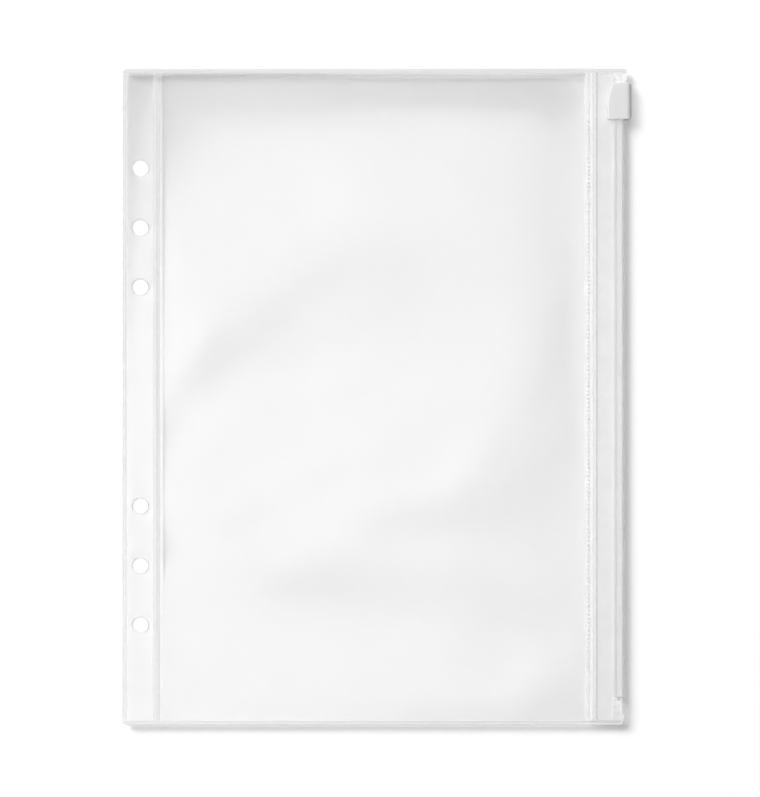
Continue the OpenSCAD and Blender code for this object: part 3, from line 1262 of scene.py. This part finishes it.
@dataclass
class Studio:
    """The table, the lamps and the camera straight above.

    Attributes:
        card: The table's material.
        table_size: Side of the table.
        table_drop: Gap under the part, so that film and table aren't in one plane.
        frame_height: Height of the picture at the film, in metres.
        sensor: Height of the camera's sensor, in millimetres.
        lens: Focal length, in millimetres.
        aim: The point in the picture's middle.
        film_plane: Height at which the picture is measured.
        ambient: Brightness of the room around.
        walls: Brightness of the room's walls in gloss, so that film seen aslant mirrors white.
        wall_tops: Sines of the heights over the horizon between which the walls end.
        clear_layers: How many clear faces a ray of light may pass.
        lamps: The softboxes: two that light the table and the pocket, the rest seen in its gloss.
    """

    card: Material
    table_size: float = 6.0
    table_drop: float = 0.1 * MM
    frame_height: float = 254.8 * MM
    sensor: float = 36.0
    lens: float = 135.0
    aim: tuple[float, float] = (1.0 * MM, -0.55 * MM)
    film_plane: float = 2.8 * MM
    ambient: float = 0.08
    walls: float = 0.8
    wall_tops: tuple[float, float] = (0.6, 0.86)
    clear_layers: int = 32
    lamps: Sequence[Softbox] = (
        Softbox("key_softbox", (-1.76, 1.6, 2.14), (0.0, 0.0, 0.0), 1.7, 1.7, 143.0, in_gloss=False),
        Softbox("fill_softbox", (1.8, -0.6, 0.9), (0.0, 0.0, 0.0), 1.0, 1.0, 4.0, in_gloss=False),
        Softbox(
            "left_softbox", (-0.8, 0.8, 1.34), (-0.8, 0.8, 0.0), 2.0, 1.0, 5.0, turn_deg=45.0, on_matt=False
        ),
        Softbox("low_softbox", (-0.35, -1.5, 1.35), (-0.35, -1.5, 0.0), 1.3, 1.3, 12.0, on_matt=False),
        *SoftboxBank().softboxes(),
    )

    def table(self) -> None:
        """Lays the table."""
        half = self.table_size / 2
        corners = np.array([(-half, -half), (half, -half), (half, half), (-half, half)])
        points = np.column_stack([corners, np.full(4, -self.table_drop)])
        top = mesh_piece("table", points, [[0, 1, 2, 3]], self.card)

    def camera(self) -> None:
        """Sets up the camera straight above the page."""
        data = bpy.data.cameras.new("camera")
        data.lens = self.lens
        data.sensor_fit = "VERTICAL"
        data.sensor_height = self.sensor
        camera = bpy.data.objects.new("camera", data)
        bpy.context.scene.collection.objects.link(camera)
        camera.location = (*self.aim, self.film_plane + self.frame_height * self.lens / self.sensor)
        bpy.context.scene.camera = camera

    def room(self) -> None:
        """Sets the even light of the room around, which the camera sees as white, and its walls in gloss."""
        world = bpy.data.worlds.new("room")
        world.use_nodes = True
        tree = world.node_tree
        tree.nodes.clear()
        heading = add_node(tree, "TexCoord").outputs["Generated"]
        height = add_node(tree, "SeparateXYZ", {0: heading}).outputs["Z"]
        walls = add_node(
            tree, "MapRange",
            {"Value": height, "From Min": self.wall_tops[0], "From Max": self.wall_tops[1],
             "To Min": self.walls - self.ambient, "To Max": 0.0},
            interpolation_type="SMOOTHSTEP",
        )
        path = add_node(tree, "LightPath")
        seen = add_node(
            tree, "Math", {0: path.outputs["Is Camera Ray"], 1: 1 - self.ambient, 2: self.ambient},
            operation="MULTIPLY_ADD",
        )
        strength = add_node(
            tree, "Math", {0: path.outputs["Is Glossy Ray"], 1: walls.outputs["Result"], 2: seen},
            operation="MULTIPLY_ADD",
        )
        sky = add_node(tree, "Background", {"Color": linear(WHITE), "Strength": strength})
        add_node(tree, "OutputWorld", {"Surface": sky})
        bpy.context.scene.world = world

    def build(self) -> None:
        """Builds the table, lamps, room and camera."""
        self.table()
        for lamp in self.lamps:
            lamp.build()
        self.room()
        self.camera()
        scene = bpy.context.scene
        scene.view_settings.view_transform = "Standard"
        scene.cycles.transparent_max_bounces = self.clear_layers


# Across the page, up the page, heading, half length, half width and height of each fold.
FRONT_FOLDS: Sequence[Fold] = (
    Fold(-35, 10, 36, 48, 15, 0.68),
    Fold(-64, 8.5, 74, 44, 10, -0.17),
    Fold(-12, 7.5, 34, 42, 12.4, 1.05),
    Fold(13.5, 53.5, 8, 29, 13.5, -0.28),
    Fold(39, -3, 61, 33, 10, 0.7),
    Fold(1.6, -28.6, 21, 49, 15.7, 1.2),
    Fold(8.9, -31.9, 1, 40, 9.8, 0.34),
    Fold(-31.5, -51.8, -1.5, 30, 13.7, 1.2),
    Fold(22.7, -73, 9, 44.5, 15, -0.89),
    Fold(54.7, -63.3, -11, 19, 10.8, 0.46),
    Fold(40.5, -85.7, 29, 15, 12.7, -0.86),
    Fold(19.2, -91.6, 1.5, 32, 10.9, -0.77),
    Fold(-63.8, -93.9, 1, 8.7, 7.5, 0.7),
    Fold(49, 53, 97, 27.6, 11, 0.24),
    Fold(-24.6, 48.9, 30, 25.6, 13.5, -0.19),
)


def main() -> None:
    """Builds the pocket's pieces in order, and the studio around them."""
    logging.basicConfig(level=logging.INFO, format="%(name)s %(message)s")
    film, weld, rim, joint = (finish.build() for finish in (CALENDERED_FILM, BAR_WELD, CUT_WELD, JOINT))
    lap, rim_highlight, bitten = (finish.build() for finish in (WHEEL_WELD, RIM_HIGHLIGHT_WELD, TOOTH_PIT_SHADE_WELD))
    rail, crushed, plastic = (finish.build() for finish in (EXTRUDED_RAIL, CRUSHED_RAIL, SLIDER_PLASTIC))
    Studio(TABLE_CARD.build()).build()
    RimWelds(weld, rim, joint).build()
    SpineWeld(weld, joint).build()
    FilmSheet(
        Side.BACK, film, joint, spine_shoulder=50 * MM, top_shoulder=60 * MM, low_shoulder=60 * MM,
        ledge_rise=0.0, lap_shoulders=((0, 60),),
    ).build()
    FilmSheet(Side.FRONT, film, joint, FRONT_FOLDS).build()
    for side in Side:
        LapSeam(side, lap, rim_highlight, bitten, joint).build()
    PressZip(rail, crushed).build()
    ZipSlider(plastic).build()


if __name__ == "__main__":
    main()
